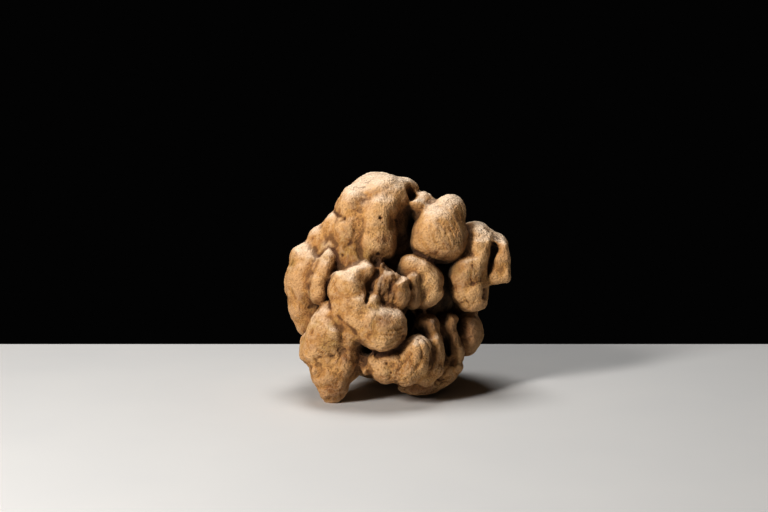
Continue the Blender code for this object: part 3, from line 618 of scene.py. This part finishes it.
def as_object(name, bm):
    """Puts the shape in hand into the scene as an object."""
    mesh = bpy.data.meshes.new(name)
    bm.to_mesh(mesh)
    bm.free()
    obj = bpy.data.objects.new(name, mesh)
    bpy.context.scene.collection.objects.link(obj)
    return obj


def apply_modifiers(obj):
    """Makes the evaluated shape the object's own mesh."""
    bpy.context.view_layer.update()
    graph = bpy.context.evaluated_depsgraph_get()
    mesh = bpy.data.meshes.new_from_object(obj.evaluated_get(graph))
    obj.modifiers.clear()
    obj.data = mesh


def fuse(obj, voxel_mm):
    """Grows every overlapping shape of the object together into one skin."""
    remesh = obj.modifiers.new("fuse", "REMESH")
    remesh.mode = "VOXEL"
    remesh.voxel_size = voxel_mm * MM
    apply_modifiers(obj)


def smooth(obj, times):
    """Rounds the creases, as skin does."""
    rounding = obj.modifiers.new("smooth", "SMOOTH")
    rounding.factor = 0.5
    rounding.iterations = times
    apply_modifiers(obj)


def cut(obj, cutters):
    """Cuts the clefts out of the body."""
    for cutter in cutters:
        boolean = obj.modifiers.new("cleft", "BOOLEAN")
        boolean.operation = "DIFFERENCE"
        boolean.solver = "MANIFOLD"
        boolean.object = cutter
    apply_modifiers(obj)
    for cutter in cutters:
        bpy.data.objects.remove(cutter)


def gathered(name, objects):
    """One object holding the meshes of several, which are removed."""
    bm = bmesh.new()
    for obj in objects:
        bm.from_mesh(obj.data)
        bpy.data.objects.remove(obj)
    return as_object(name, bm)


def grown_lobe(name, times, shapes):
    """One lobe, whose balls run smoothly into each other."""
    lobe = balls(name, shapes)
    fuse(lobe, LOBE_VOXEL_MM)
    smooth(lobe, times)
    return lobe


def grown(name):
    """The whole fused body, face on."""
    obj = gathered(name, [grown_lobe(lobe, times, shapes) for lobe, (times, shapes) in LOBES.items()])
    fuse(obj, FUSE_VOXEL_MM)
    cut(obj, [balls(cleft, [shape]) for cleft, shape in CLEFTS.items()])
    fuse(obj, FUSE_VOXEL_MM)
    smooth(obj, SKIN_SMOOTHING)
    return obj


def points_of(mesh):
    """The places of a mesh's vertices and the way its skin faces there."""
    places = np.empty(len(mesh.vertices) * 3)
    mesh.vertices.foreach_get("co", places)
    facing = np.empty(len(mesh.vertices) * 3)
    mesh.vertex_normals.foreach_get("vector", facing)
    return places.reshape(-1, 3) / MM, facing.reshape(-1, 3)


def rough(points, wide, seed):
    """Noise at each point, from about -1 to 1, whose swellings are this wide."""
    shift = Vector((seed, -0.7 * seed, 0.4 * seed))
    return np.array([noise.noise(Vector(point) + shift) for point in (points / wide).tolist()])


def wandering(points, wide, far, seed):
    """How far each point is carried off by a slow drift, so that lines waver."""
    return far * np.stack([rough(points, wide, seed + step) for step in (0, 31, 67)], axis=1)


def valleys(values, narrow):
    """Creases, 1 deep, along the lines where the noise passes through nothing, with rounded banks."""
    return np.exp(-np.abs(values) / narrow)


def ramp(values, low, high):
    """0 below low, 1 above high, and a soft step between."""
    part = np.clip((values - low) / (high - low), 0, 1)
    return part * part * (3 - 2 * part)


def ball_reach(points, middle, halves, tilt):
    """How far each point is from a ball's middle, where 1 is the ball's skin."""
    back = np.array(placed(middle, halves, tilt).inverted())
    return np.linalg.norm(points * MM @ back[:3, :3].T + back[:3, 3], axis=1)


def owners(points):
    """The number of the lobe that each point lies on."""
    nearest = np.full(len(points), 1e9)
    owner = np.zeros(len(points), int)
    for number, (times, shapes) in enumerate(LOBES.values()):
        for middle, halves, tilt in shapes:
            gap = np.abs(ball_reach(points, middle, halves, tilt) - 1) * min(halves)
            closer = gap < nearest
            nearest[closer] = gap[closer]
            owner[closer] = number
    return owner


def along_grain(points, kind, way):
    """The points with their grain squeezed, so that noise over them runs in lines."""
    if kind == "along":
        grain = np.array(way) / np.linalg.norm(way)
        run = points @ grain
        return points - np.outer(run * (1 - 1 / WRINKLE_STRETCH), grain)
    across = points[:, 0] - way[0]
    up = points[:, 2] - way[2]
    reach = np.hypot(across, up)
    turn = np.arctan2(up, across)
    return np.stack([reach, points[:, 1] / 2, turn * 12 / WRINKLE_STRETCH], axis=1)


def from_course(points, course):
    """How far each point is, seen face on, from a crease's course."""
    flat = points[:, [0, 2]]
    best = np.full(len(points), 1e9)
    for start, end in zip(course, course[1:]):
        start, end = np.array(start), np.array(end)
        run = end - start
        part = np.clip((flat - start) @ run / (run @ run), 0, 1)
        best = np.minimum(best, np.linalg.norm(flat - start - part[:, None] * run, axis=1))
    return best


def off_the_rims(points):
    """0 on the thin rim of a cleft, 1 well away from them all, and a soft step between."""
    clear = np.ones(len(points))
    for middle, halves, tilt in CLEFTS.values():
        reach = np.linalg.norm(points - np.array(middle), axis=1)
        away = reach * (1 - 1 / np.maximum(ball_reach(points, middle, halves, tilt), 1e-6))
        clear *= ramp(away, RIM_MM, 3 * RIM_MM)
    return clear


def folded_back(points):
    """How deep the back is dented at each point, and how deep it is in a furrow, in millimetres."""
    swirled = points + wandering(points, 14.0, SWIRL_MM, 83)
    behind = ramp(points[:, 1], 0.0, 12.0) * off_the_rims(points)
    furrows = valleys(rough(swirled, FURROWS_APART_MM, 71), 0.08) * ramp(rough(points, 9.0, 73), -0.2, 0.2)
    dents = np.abs(rough(swirled, DENTS_WIDE_MM, 77))
    dents += 0.5 * np.abs(rough(swirled, 0.5 * DENTS_WIDE_MM, 79))
    return behind * dents * DENT_DEEP_MM, behind * furrows * FURROW_DEEP_MM


def relief(points, facing):
    """How far the skin stands out at each point, and how deep in a crease or pit it is, in millimetres."""
    drifted = points + wandering(points, DRIFT_WIDE_MM, DRIFT_FAR_MM, 3)
    patchy = 0.3 + 0.7 * ramp(rough(points, FADING_WIDE_MM, 5), -0.25, 0.35)
    owner = owners(points)
    lumpiness = np.array([WRINKLES[name][4] for name in LOBES])[owner]
    height = sum(high * rough(drifted, wide, seed) for wide, high, seed in LUMPS)
    height -= sum(high * np.abs(rough(drifted, wide, seed)) for wide, high, seed in DENTS)
    height *= lumpiness
    winding = valleys(rough(drifted, WINDING_APART_MM, 17), WINDING_NARROW)
    winding *= ramp(rough(points, WINDING_PATCH_MM, 37), 0.0, 0.4)
    sunk = WINDING_DEEP_MM * lumpiness * winding
    for number, name in enumerate(LOBES):
        kind, way, wide, deep, _ = WRINKLES[name]
        mine = owner == number
        if not mine.any():
            continue
        grained = along_grain(drifted[mine], kind, way)
        wave = rough(grained, wide * 1.7, 19 + number)
        finer = rough(grained, wide * 0.9, 23 + number)
        sunk[mine] += deep * patchy[mine] * (valleys(wave, 0.09) + 0.45 * valleys(finer, 0.12))
        height[mine] += 0.9 * deep * np.abs(wave)
    dents, furrows = folded_back(points)
    height -= dents
    sunk += furrows
    front = ramp(-facing[:, 1], 0.05, 0.35)
    for course, wide, deep in CREASES:
        near = np.exp(-((from_course(drifted, course) / wide) ** 2)) * front
        if deep > 0 and wide < VALLEY_WIDE_MM:
            sunk += deep * near
        else:
            height -= deep * near
    for (right, up), wide, deep in PITS:
        apart = np.hypot(points[:, 0] - right, points[:, 2] - up)
        sunk += deep * np.exp(-((apart / wide) ** 4)) * front
    return height - sunk, sunk


def patched(points, facing, patches):
    """How strongly each point of the face is coloured by patches, from 0 to 1."""
    points = points + wandering(points, 4.0, 1.6, 41)
    strongest = np.zeros(len(points))
    for (right, up), (wide, high), strength in patches:
        apart = np.hypot((points[:, 0] - right) / wide, (points[:, 2] - up) / high)
        strongest = np.maximum(strongest, strength * (1 - ramp(apart, 0.3, 1.3)))
    return strongest * ramp(-facing[:, 1], 0.0, 0.4)


def swellings(points):
    """The broad unevenness that the solid has too."""
    return sum(high * solid_noise(points, wide) for wide, high in SWELLINGS)


def solid_noise(points, wide):
    """The solid's own noise, so that the skin swells where the solid does."""
    shift = Vector((wide, 0, 0))
    return np.array([noise.noise(Vector(point) + shift) for point in (points / wide).tolist()])


def push_out(obj, height_of):
    """Moves every point of the skin out by the height that a function gives it."""
    points, facing = points_of(obj.data)
    moved = points + facing * height_of(points, facing)[:, None]
    obj.data.vertices.foreach_set("co", (moved * MM).ravel())
    obj.data.update()


def thin_out(obj, triangles):
    """Reduces the skin to about this many facets, larger where it is flat."""
    obj.data.calc_loop_triangles()
    decimate = obj.modifiers.new("thin_out", "DECIMATE")
    decimate.ratio = triangles / len(obj.data.loop_triangles)
    decimate.use_collapse_triangulate = True
    apply_modifiers(obj)


def keep(mesh, name, values):
    """Stores a value for every point of the mesh, for its material to read."""
    layer = mesh.attributes.new(name, "FLOAT", "POINT")
    layer.data.foreach_set("value", np.asarray(values, dtype=np.float32))


def spread(values, edges, count, times):
    """Evens values out over their neighbours."""
    ends = np.concatenate([edges[:, 0], edges[:, 1]])
    others = np.concatenate([edges[:, 1], edges[:, 0]])
    many = np.bincount(ends, minlength=count)
    for _ in range(times):
        values = 0.5 * values + 0.5 * np.bincount(ends, values[others], minlength=count) / many
    return values


def edges_of(mesh):
    """The pairs of points that the mesh's edges join."""
    pairs = np.empty(len(mesh.edges) * 2, dtype=np.int32)
    mesh.edges.foreach_get("vertices", pairs)
    return pairs.reshape(-1, 2)


def evened(points, edges, times):
    """Where each point would be if the skin were evened out."""
    return np.stack([spread(points[:, axis], edges, len(points), times) for axis in range(3)], axis=1)


def bulge(points, facing, edges, times):
    """How far each point stands out of its evened-out surroundings, in millimetres."""
    return ((points - evened(points, edges, times)) * facing).sum(axis=1)


def sky_ways(many):
    """Ways that look out evenly all round."""
    golden = math.pi * (3 - math.sqrt(5))
    ways = []
    for step in range(many):
        high = 1 - 2 * (step + 0.5) / many
        ring = math.sqrt(1 - high * high)
        ways.append(Vector((ring * math.cos(golden * step), ring * math.sin(golden * step), high)))
    return ways


def shut_in(mesh, reach_mm, many):
    """How much of what each point could see is blocked by other skin close by, from 0 to 1."""
    places = [vert.co for vert in mesh.vertices]
    tree = BVHTree.FromPolygons(places, [poly.vertices for poly in mesh.polygons])
    ways = sky_ways(many)
    blocked = []
    for vert in mesh.vertices:
        normal = vert.normal
        start = vert.co + normal * 0.3 * MM
        seen = [way for way in ways if way.dot(normal) > 0.15]
        hits = sum(1 for way in seen if tree.ray_cast(start, way, reach_mm * MM)[0] is not None)
        blocked.append(hits / len(seen))
    return np.array(blocked)


def stand(obj):
    """Leans the body back, wears its lowest knobs flat and sets it on the solid's place."""
    obj.data.transform(Matrix.Rotation(math.radians(-LEAN_DEG), 4, "X"))
    bm = bmesh.new()
    bm.from_mesh(obj.data)
    geometry = [*bm.verts, *bm.edges, *bm.faces]
    cut_made = bmesh.ops.bisect_plane(
        bm, geom=geometry, plane_co=(0, 0, LOWEST_UP_MM * MM), plane_no=(0, 0, -1), clear_outer=True
    )
    rims = [item for item in cut_made["geom_cut"] if isinstance(item, bmesh.types.BMEdge)]
    bmesh.ops.contextual_create(bm, geom=rims)
    bmesh.ops.triangulate(bm, faces=bm.faces)
    low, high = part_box("white_truffle")
    lows = [min(vert.co[axis] for vert in bm.verts) for axis in range(3)]
    highs = [max(vert.co[axis] for vert in bm.verts) for axis in range(3)]
    across = [(low[axis] + high[axis] - lows[axis] - highs[axis]) / 2 for axis in (0, 1)]
    shift = Vector([*across, low.z - lows[2]])
    bmesh.ops.translate(bm, vec=shift, verts=bm.verts)
    bm.to_mesh(obj.data)
    bm.free()


def unfold(obj, facing_before):
    """Evens out the skin wherever the relief has turned it over on a thin rim or in a narrow gap."""
    points, facing = points_of(obj.data)
    edges = edges_of(obj.data)
    folded = ((facing * facing_before).sum(axis=1) < TURNED_OVER).astype(float)
    folded = np.clip(spread(folded, edges, len(points), TURNED_SPREADS) * TURNED_STRENGTH, 0, 1)
    even = evened(points, edges, EVENED_TIMES)
    moved = points + (even - points) * folded[:, None]
    obj.data.vertices.foreach_set("co", (moved * MM).ravel())
    obj.data.update()


def truffle_skin_mesh():
    """The whole truffle, with what its material needs to know at each point."""
    obj = grown("white_truffle_skin")
    facing_before = points_of(obj.data)[1]
    push_out(obj, lambda points, facing: swellings(points))
    push_out(obj, lambda points, facing: relief(points, facing)[0])
    unfold(obj, facing_before)
    thin_out(obj, SKIN_TRIANGLES)
    points, facing = points_of(obj.data)
    sunk = relief(points, facing)[1]
    keep(obj.data, "crack", np.clip(sunk / CREASE_FULL_MM, 0, 1))
    keep(obj.data, "stain", patched(points, facing, STAINS))
    # The dark patches are partly soil and partly painted shade.
    keep(obj.data, "dirt_and_painted_shade", patched(points, facing, DIRT_AND_PAINTED_SHADE))
    # The pale value is painted light.
    keep(obj.data, "pale", patched(points, facing, PAINTED_LIGHT_PATCHES))
    stand(obj)
    points, facing = points_of(obj.data)
    edges = edges_of(obj.data)
    near = bulge(points, facing, edges, NEAR_TIMES)
    broad = bulge(points, facing, edges, BROAD_TIMES)
    # The raised and swollen values lighten proud skin with dust and painted highlight, and darken sunken skin
    # with soil and painted shade.
    keep(obj.data, "raised", np.clip(0.5 + near / NEAR_SPAN_MM, 0, 1))
    keep(obj.data, "swollen", np.clip(0.5 + broad / BROAD_SPAN_MM, 0, 1))
    # The upward value whitens tops with dust and painted top light.
    keep(obj.data, "upward", np.clip(spread(facing[:, 2], edges, len(points), 4), 0, 1))
    hidden = shut_in(obj.data, SHUT_IN_REACH_MM, SHUT_IN_WAYS)
    # The hollow value darkens the gaps with painted shade.
    keep(obj.data, "hollow", spread(hidden, edges, len(points), 2))
    obj.data.shade_smooth()
    return obj


class Tone:
    """A shader socket that can be worked with as if it were a number."""

    def __init__(self, nodes, socket):
        self.nodes = nodes
        self.socket = socket

    def with_maths(self, operation, *others):
        return self.nodes.add("ShaderNodeMath", {"operation": operation}, dict(enumerate([self, *others])))

    def __add__(self, other):
        return self.with_maths("ADD", other)

    def __mul__(self, other):
        return self.with_maths("MULTIPLY", other)

    def __sub__(self, other):
        return self.with_maths("SUBTRACT", other)

    def __rsub__(self, other):
        return self.nodes.add("ShaderNodeMath", {"operation": "SUBTRACT"}, {0: other, 1: self})

    __radd__ = __add__
    __rmul__ = __mul__

    def between(self, low, high):
        """0 below low, 1 above high, and a soft step between."""
        values = {"Value": self, "From Min": low, "From Max": high}
        return self.nodes.add("ShaderNodeMapRange", {"interpolation_type": "SMOOTHSTEP"}, values)


class Nodes:
    """Builds one material's nodes."""

    def __init__(self, material):
        material.use_nodes = True
        self.tree = material.node_tree
        self.shader = self.tree.nodes["Principled BSDF"]

    def add(self, kind, settings, values, output=0):
        """Adds a node, with its settings and then its sockets' values or links, and gives back an output."""
        node = self.tree.nodes.new(kind)
        for name, value in settings.items():
            setattr(node, name, value)
        for name, value in values.items():
            self.put(node.inputs[name], value)
        return Tone(self, node.outputs[output])

    def put(self, socket, value):
        """Links a socket to a tone, or gives it a value."""
        if isinstance(value, Tone):
            self.tree.links.new(value.socket, socket)
        else:
            socket.default_value = value

    def places(self):
        """Where each point of the object is, in millimetres."""
        where = self.add("ShaderNodeTexCoord", {}, {}, "Object")
        return self.add("ShaderNodeVectorMath", {"operation": "SCALE"}, {0: where, "Scale": 1 / MM})

    def kept(self, name):
        """A value that the mesh keeps at each point."""
        return self.add("ShaderNodeAttribute", {"attribute_name": name}, {}, "Fac")

    def clouds(self, where, wide, detail=3.0, distortion=0.0):
        """Noise from 0 to 1 whose clouds are this many millimetres wide."""
        values = {"Vector": where, "Scale": 1 / wide, "Detail": detail, "Distortion": distortion}
        return self.add("ShaderNodeTexNoise", {}, values)

    def spots(self, where, wide):
        """How far each point is from the nearest of many scattered spots."""
        values = {"Vector": where, "Scale": 1 / wide}
        return self.add("ShaderNodeTexVoronoi", {"feature": "F1"}, values, "Distance")

    def blend(self, share, first, second):
        """One colour over another, by a share from 0 to 1."""
        settings = {"data_type": "RGBA", "blend_type": "MIX"}
        return self.add("ShaderNodeMix", settings, {"Factor": share, "A": first, "B": second}, "Result")


def skin_finish(material):
    """Dry ochre skin: dust and painted top light on top and where it stands proud, painted highlights and
    painted light in pale patches, brown from soil and painted shade in its creases and hollows, and near
    black painted shade in its gaps.
    """
    nodes = Nodes(material)
    where = nodes.places()
    crack = nodes.kept("crack")
    raised = nodes.kept("raised")
    swollen = nodes.kept("swollen")
    hollow = nodes.kept("hollow")
    upward = nodes.kept("upward")

    broad = nodes.clouds(where, BROAD_MM, 2.0)
    patches = nodes.clouds(where, PATCHES_MM, 5.0, 0.8)
    mottle = nodes.clouds(where, MOTTLE_MM, 8.0, 0.6)
    grit = nodes.clouds(where, GRIT_MM, 8.0)

    colour = nodes.blend(broad.between(0.35, 0.65), OCHRE, HONEY)
    colour = nodes.blend((1 - broad.between(0.3, 0.46)) * 0.7, colour, OLIVE)
    colour = nodes.blend(patches.between(0.48, 0.66) * 0.6, colour, TAN)
    # Pale patches of painted light.
    colour = nodes.blend(nodes.kept("pale") * (0.4 + patches * 0.7), colour, CREAM)
    stained_here = nodes.kept("stain") * (mottle + patches).between(0.62, 1.08)
    colour = nodes.blend(mottle.between(0.5, 0.7) * 0.42, colour, RUSSET)
    colour = nodes.blend(stained_here * 0.8, colour, RUSSET)
    # Cream on the broad swellings: dust and a painted highlight.
    colour = nodes.blend(swollen.between(0.6, 0.95) * mottle * 0.45, colour, CREAM)
    open_skin = 1 - hollow.between(0.1, 0.5)
    # Dust and painted top light on skin that faces up or stands proud.
    faces_up_and_proud = upward.between(0.4, 0.95) + raised.between(0.55, 0.9) * 0.16
    dust_and_top_light = faces_up_and_proud * open_skin * (0.55 + patches * 0.6) * (0.7 + grit * 0.5)
    colour = nodes.blend(dust_and_top_light, colour, DUST_AND_TOP_LIGHT)
    flecks = nodes.spots(where, FLECKS_MM)
    flecked = (1 - flecks.between(0.06, 0.2)) * patches.between(0.5, 0.62)
    colour = nodes.blend(flecked * 0.5, colour, UMBER)
    colour = nodes.blend(grit.between(0.5, 0.7) * 0.42, colour, RUSSET)
    colour = nodes.blend((1 - grit.between(0.3, 0.48)) * 0.3 * open_skin, colour, HONEY)
    # Dark patches: soil, and painted shade on folds that lie in shadow.
    colour = nodes.blend(nodes.kept("dirt_and_painted_shade") * (0.3 + mottle * 0.7), colour, UMBER)
    # Umber in creases and in sunken skin: soil and painted shade.
    creased = crack.between(0.1, 1.0) * 0.65 + (1 - raised.between(0.1, 0.45)) * 0.5
    sunken = (1 - swollen.between(0.08, 0.46)) * (0.25 + mottle * 0.5)
    colour = nodes.blend(sunken, colour, UMBER)
    colour = nodes.blend(creased, colour, UMBER)
    # Painted shade in the gaps, deepening to near black where other skin shuts a point in.
    colour = nodes.blend(hollow.between(0.1, 0.55) * 0.35, colour, UMBER)
    colour = nodes.blend(hollow.between(0.4, 0.9) * 0.9, colour, GAP_SHADE_BLACK)
    nodes.put(nodes.shader.inputs["Base Color"], colour)
    nodes.put(nodes.shader.inputs["Roughness"], 0.74 + mottle * 0.2)

    pores = nodes.spots(where, PORES_MM)
    height = mottle * 0.6 + grit * 0.8 + pores.between(0.0, 0.35) * 0.2
    bump = nodes.add(
        "ShaderNodeBump", {}, {"Height": height, "Strength": BUMP_STRENGTH, "Distance": BUMP_HEIGHT_MM * MM}
    )
    nodes.put(nodes.shader.inputs["Normal"], bump)


def slab_finish(material):
    """A smooth, pale, matt slab with the faintest clouding."""
    nodes = Nodes(material)
    where = nodes.places()
    clouding = nodes.clouds(where, 60.0, 3.0)
    nodes.put(nodes.shader.inputs["Base Color"], nodes.blend(clouding, SLAB_COOL, SLAB_WARM))
    nodes.put(nodes.shader.inputs["Roughness"], 0.8 + clouding * 0.1)


def finished(obj, name, finish):
    """Gives a piece its one material."""
    material = bpy.data.materials.new(name)
    finish(material)
    obj.data.materials.clear()
    obj.data.materials.append(material)
    return obj


def slab():
    """The pale slab that the truffle stands on."""
    bm = bmesh.new()
    bmesh.ops.create_cube(bm, size=1)
    bmesh.ops.scale(bm, vec=SLAB_SIZE, verts=bm.verts)
    bmesh.ops.translate(bm, vec=(0, SLAB_BACK - SLAB_SIZE[1] / 2, -SLAB_SIZE[2] / 2), verts=bm.verts)
    bmesh.ops.bevel(
        bm, geom=bm.edges, offset=SLAB_ROUNDING, segments=6, profile=0.5, affect="EDGES", material=-1
    )
    obj = as_object("slab", bm)
    obj.data.shade_smooth()
    return obj


def lamp(name, place, aim, size, power, colour):
    """A soft lamp, of a width and height, that shines from a place towards a point."""
    light = bpy.data.lights.new(name, "AREA")
    light.shape = "RECTANGLE"
    light.size = size[0]
    light.size_y = size[1]
    light.energy = power
    light.color = colour
    obj = bpy.data.objects.new(name, light)
    bpy.context.scene.collection.objects.link(obj)
    obj.location = place
    obj.rotation_euler = (Vector(aim) - Vector(place)).to_track_quat("-Z", "Y").to_euler()


def surroundings():
    """A dark, plain room."""
    world = bpy.data.worlds.new("room")
    world.use_nodes = True
    ground = world.node_tree.nodes["Background"]
    ground.inputs["Color"].default_value = ROOM_COLOUR
    ground.inputs["Strength"].default_value = 1.0
    bpy.context.scene.world = world


def camera():
    """The photograph's view: nearly level, from the front."""
    lens = bpy.data.cameras.new("camera")
    lens.lens = LENS_MM
    lens.shift_x = SHIFT_RIGHT
    lens.shift_y = SHIFT_UP
    obj = bpy.data.objects.new("camera", lens)
    bpy.context.scene.collection.objects.link(obj)
    rise = math.radians(CAMERA_ELEVATION_DEG)
    back = Vector((0, -math.cos(rise), math.sin(rise)))
    obj.location = Vector(LOOK_AT) + back * CAMERA_FAR
    obj.rotation_euler = (-back).to_track_quat("-Z", "Y").to_euler()
    bpy.context.scene.camera = obj


bpy.context.scene.view_settings.view_transform = "Standard"
bpy.context.scene.view_settings.gamma = PICTURE_GAMMA
surroundings()
camera()
lamp("key", KEY_PLACE, LAMPS_AIM, KEY_SIZE, KEY_POWER, KEY_COLOUR)
lamp("top", TOP_PLACE, LAMPS_AIM, TOP_SIZE, TOP_POWER, TOP_COLOUR)
lamp("fill", FILL_PLACE, LAMPS_AIM, FILL_SIZE, FILL_POWER, FILL_COLOUR)
finished(slab(), "slab_finish", slab_finish)

skin = finished(truffle_skin_mesh(), "truffle_skin", skin_finish)
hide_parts("white_truffle")
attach(skin, "root")
